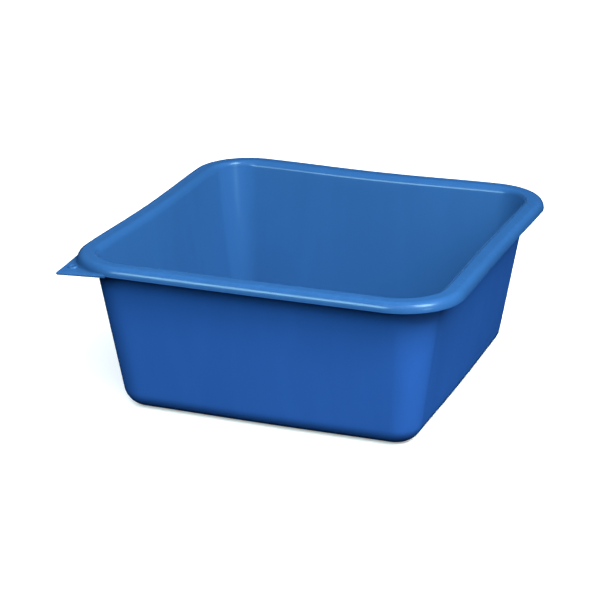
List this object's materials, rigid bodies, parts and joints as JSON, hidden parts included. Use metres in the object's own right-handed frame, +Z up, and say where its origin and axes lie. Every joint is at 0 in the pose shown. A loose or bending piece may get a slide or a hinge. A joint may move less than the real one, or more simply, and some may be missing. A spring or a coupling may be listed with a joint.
{
  "type": "mortar mixing tub",
  "caption": "Square open mixing tub with leaning walls, round corners, a turned-down rim and a holed hanging ear at one rim corner.",
  "frame": {"origin": "centre of the base, on the ground plane that the standing ring rests on", "axes": "+Z up out of the open mouth, +Y towards the back, +X to the right; the hanging ear is at the -X -Y corner"},
  "size_m": [0.5, 0.516, 0.2076],
  "materials": {
    "tub_plastic": "satin, through-coloured blue polyethylene or polypropylene, injection moulded"
  },
  "bodies": {
    "root": {"base_pan": "tub_plastic", "side_walls": "tub_plastic", "rolled_rim": "tub_plastic", "hanging_ear": "tub_plastic"}
  },
  "joints": []
}
